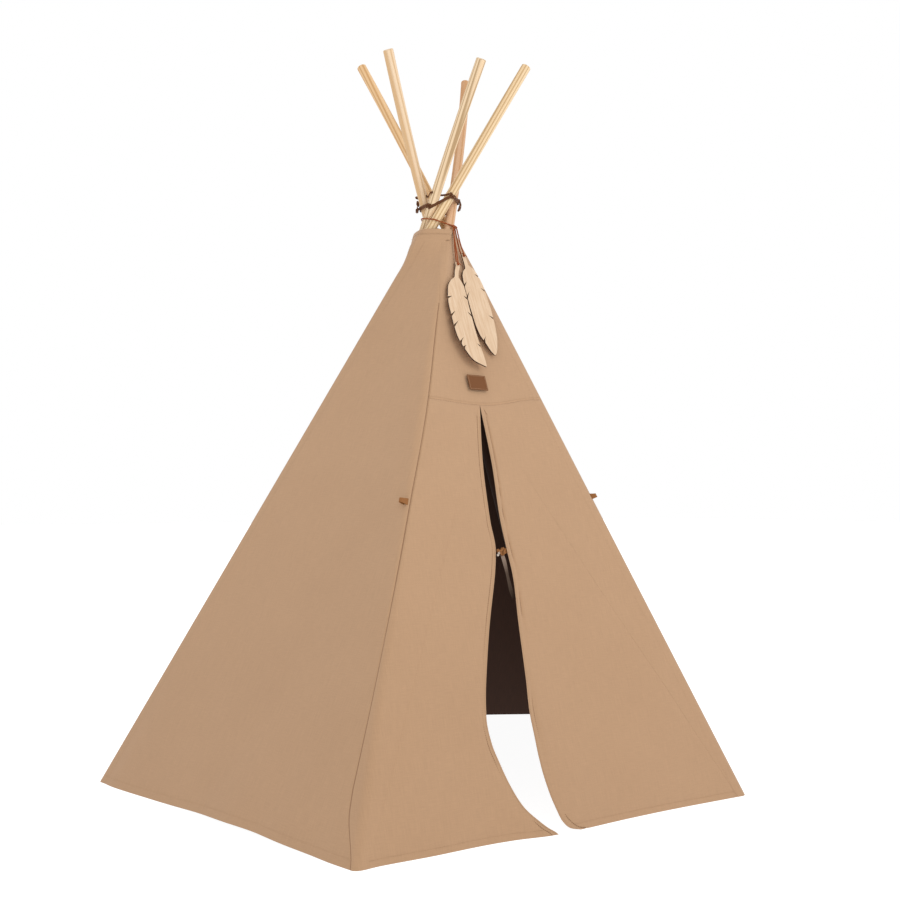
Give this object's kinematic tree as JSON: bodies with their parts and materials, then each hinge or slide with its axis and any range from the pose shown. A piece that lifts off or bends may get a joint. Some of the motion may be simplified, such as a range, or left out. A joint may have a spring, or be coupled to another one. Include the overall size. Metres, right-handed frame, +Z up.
{
  "type": "play teepee",
  "caption": "Child's teepee with lashed wooden poles under a sewn canvas cover with a split door, tie-back flaps and hanging wooden feathers.",
  "frame": {"origin": "on the floor, below the middle of the object's bounding box", "axes": "+Z up; the door faces -Y; +X to the right as seen from the front"},
  "size_m": [1.4255, 1.429, 1.7889],
  "materials": {
    "pine": "planed pine, clear",
    "canvas": "woven cotton canvas",
    "leather": "smooth brown leather",
    "lace": "waxed lace",
    "cord": "thin twisted cord",
    "plywood": "laser-cut birch plywood",
    "tape": "woven cotton tape"
  },
  "bodies": {
    "crown": {"neck_band": "canvas", "lashing_lace": "lace", "lashing_wrap": "lace", "feather_cord": "cord", "feather_knot": "cord", "strand_left_inner": "cord", "strand_left_outer": "cord", "strand_right_inner": "cord", "strand_right_outer": "cord"},
    "leg_front_left": {"pole_front_left": "pine", "sleeve_front_left": "canvas", "corner_tab_left": "leather"},
    "leg_front_right": {"pole_front_right": "pine", "sleeve_front_right": "canvas", "corner_tab_right": "leather"},
    "leg_right": {"pole_right": "pine", "sleeve_right": "canvas"},
    "leg_back": {"pole_back": "pine", "sleeve_back": "canvas"},
    "leg_left": {"pole_left": "pine", "sleeve_left": "canvas"},
    "front_wall": {"door_yoke": "canvas", "door_side_left": "canvas", "door_side_right": "canvas", "leather_patch": "leather"},
    "wall_right_panel": {"wall_right": "canvas"},
    "wall_back_right_panel": {"wall_back_right": "canvas"},
    "wall_back_left_panel": {"wall_back_left": "canvas"},
    "wall_left_panel": {"wall_left": "canvas"},
    "left_flap": {"door_flap_left": "canvas"},
    "right_flap": {"door_flap_right": "canvas", "door_tab": "leather", "door_tape": "tape"},
    "left_feather": {"feather_left": "plywood"},
    "right_feather": {"feather_right": "plywood"}
  },
  "joints": [
    {"name": "gather", "type": "hinge", "parent": "crown", "child": "leg_back", "pos_m": [-0.02869, -0.20812, 1.415], "axis": [-0.9992, -0.0402, 0], "range_deg": [0, 24], "deforming": ["wall_left", "wall_right", "wall_back_left", "wall_back_right", "door_yoke", "door_side_left", "door_side_right", "door_flap_left", "door_flap_right", "sleeve_front_left", "sleeve_front_right", "sleeve_right", "sleeve_back", "sleeve_left", "feather_knot", "strand_left_inner", "strand_left_outer", "strand_right_inner", "strand_right_outer", "neck_band", "lashing_wrap", "feather_cord", "door_tape", "door_tab", "leather_patch", "feather_left", "feather_right", "corner_tab_left", "corner_tab_right"]},
    {"name": "leg_front_left_hinge", "type": "hinge", "parent": "crown", "child": "leg_front_left", "pos_m": [0.03928, -0.17949, 1.415], "axis": [0.68, -0.7332, 0], "range_deg": [0, 20.05]},
    {"name": "leg_front_right_hinge", "type": "hinge", "parent": "crown", "child": "leg_front_right", "pos_m": [0.00711, -0.13616, 1.415], "axis": [0.7763, 0.6304, 0], "range_deg": [0, 19.99]},
    {"name": "leg_right_hinge", "type": "hinge", "parent": "crown", "child": "leg_right", "pos_m": [-0.04108, -0.16394, 1.415], "axis": [-0.4965, 0.868, 0], "range_deg": [0, 22.94]},
    {"name": "leg_left_hinge", "type": "hinge", "parent": "crown", "child": "leg_left", "pos_m": [0.00939, -0.21547, 1.415], "axis": [-0.5107, -0.8597, 0], "range_deg": [0, 22.03]},
    {"name": "front_wall_hinge", "type": "hinge", "parent": "crown", "child": "front_wall", "pos_m": [0.03005, -0.21426, 1.299], "axis": [0.9997, -0.026, 0], "range_deg": [0, 16.89]},
    {"name": "wall_right_panel_hinge", "type": "hinge", "parent": "crown", "child": "wall_right_panel", "pos_m": [0.047, -0.14882, 1.299], "axis": [0.2378, 0.9713, 0], "range_deg": [0, 18.73]},
    {"name": "wall_back_right_panel_hinge", "type": "hinge", "parent": "crown", "child": "wall_back_right_panel", "pos_m": [-0.00756, -0.11531, 1.299], "axis": [-0.8693, 0.4943, 0], "range_deg": [0, 22.79]},
    {"name": "wall_back_left_panel_hinge", "type": "hinge", "parent": "crown", "child": "wall_back_left_panel", "pos_m": [-0.05532, -0.15241, 1.299], "axis": [-0.7839, -0.6209, 0], "range_deg": [0, 22.75]},
    {"name": "wall_left_panel_hinge", "type": "hinge", "parent": "crown", "child": "wall_left_panel", "pos_m": [-0.03714, -0.213, 1.299], "axis": [0.2175, -0.9761, 0], "range_deg": [0, 19.17]},
    {"name": "left_flap", "type": "hinge", "parent": "front_wall", "child": "left_flap", "pos_m": [-0.4809, -0.69762, 0.00115], "axis": [0.4455, 0.3026, 0.8426], "range_deg": [-150, 0]},
    {"name": "right_flap", "type": "hinge", "parent": "front_wall", "child": "right_flap", "pos_m": [0.4505, -0.71802, 0.00006], "axis": [0.4348, -0.3252, -0.8398], "range_deg": [-150, 0]},
    {"name": "left_feather", "type": "hinge", "parent": "crown", "child": "left_feather", "pos_m": [0.00001, -0.25861, 1.23216], "axis": [0.1378, -0.925, 0.3542], "range_deg": [-12, 12]},
    {"name": "right_feather", "type": "hinge", "parent": "crown", "child": "right_feather", "pos_m": [0.03128, -0.23776, 1.26032], "axis": [0.1378, -0.925, 0.3542], "range_deg": [-10, 12]}
  ],
  "couplings": [
    {"joint": "leg_front_left_hinge", "follows": "gather", "ratio": 0.83323},
    {"joint": "leg_front_right_hinge", "follows": "gather", "ratio": 0.83094},
    {"joint": "leg_right_hinge", "follows": "gather", "ratio": 0.95389},
    {"joint": "leg_left_hinge", "follows": "gather", "ratio": 0.91589},
    {"joint": "front_wall_hinge", "follows": "gather", "ratio": 0.7015},
    {"joint": "wall_right_panel_hinge", "follows": "gather", "ratio": 0.77814},
    {"joint": "wall_back_right_panel_hinge", "follows": "gather", "ratio": 0.94729},
    {"joint": "wall_back_left_panel_hinge", "follows": "gather", "ratio": 0.94582},
    {"joint": "wall_left_panel_hinge", "follows": "gather", "ratio": 0.79677}
  ]
}
